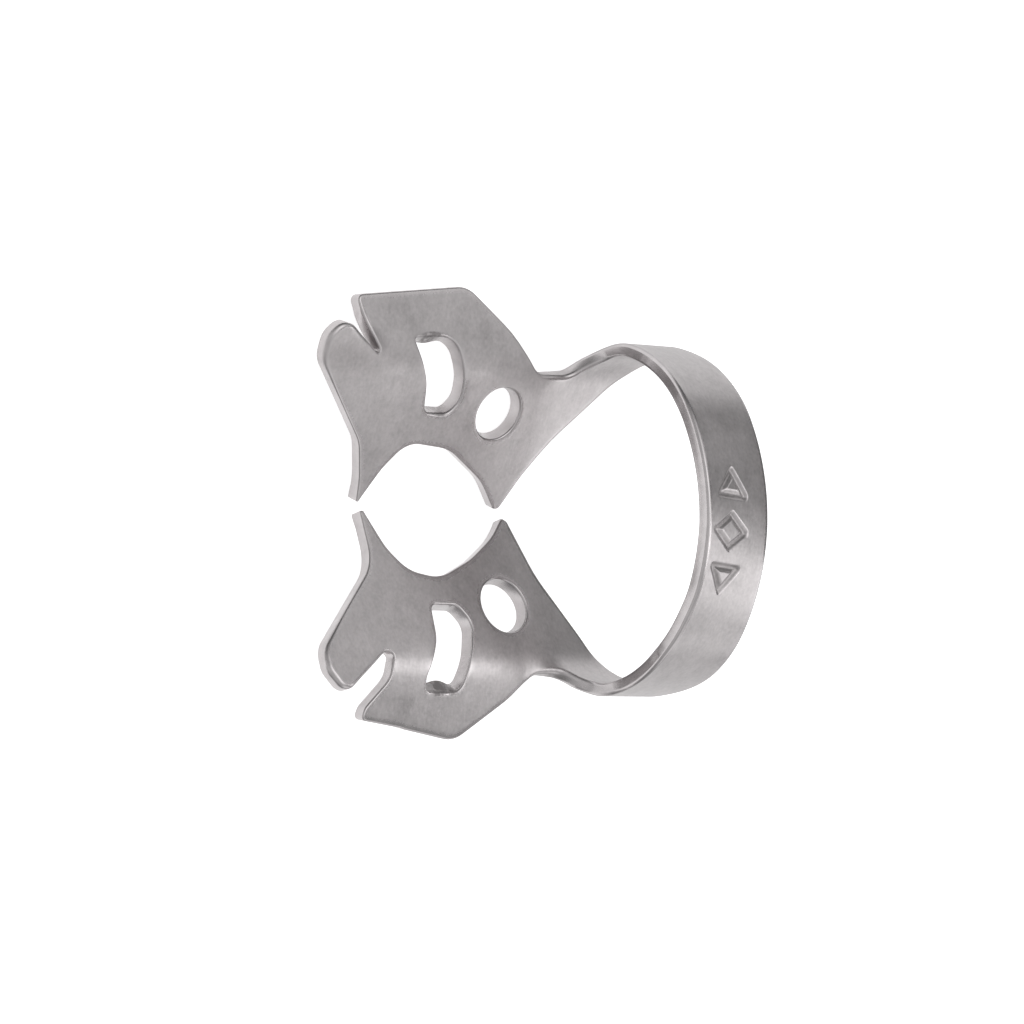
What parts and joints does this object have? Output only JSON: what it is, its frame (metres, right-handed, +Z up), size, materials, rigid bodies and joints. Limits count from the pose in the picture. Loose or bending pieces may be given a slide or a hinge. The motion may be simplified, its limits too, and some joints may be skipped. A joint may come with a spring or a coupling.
{
  "type": "rubber dam clamp",
  "caption": "Winged dental dam clamp: pronged jaws with forceps holes, wings and front tongues, joined by an arched spring bow bent from the same steel sheet.",
  "frame": {"origin": "on the ground under the middle of the clamp as it lies at rest", "axes": "+X from the front tongues to the bow, +Y towards the left jaw, whose wing touches the ground, +Z up"},
  "size_m": [0.0254, 0.0222, 0.0113],
  "materials": {
    "satin_spring_steel": "satin, tumbled"
  },
  "bodies": {
    "root": {"dam_clamp": "satin_spring_steel"}
  },
  "joints": []
}
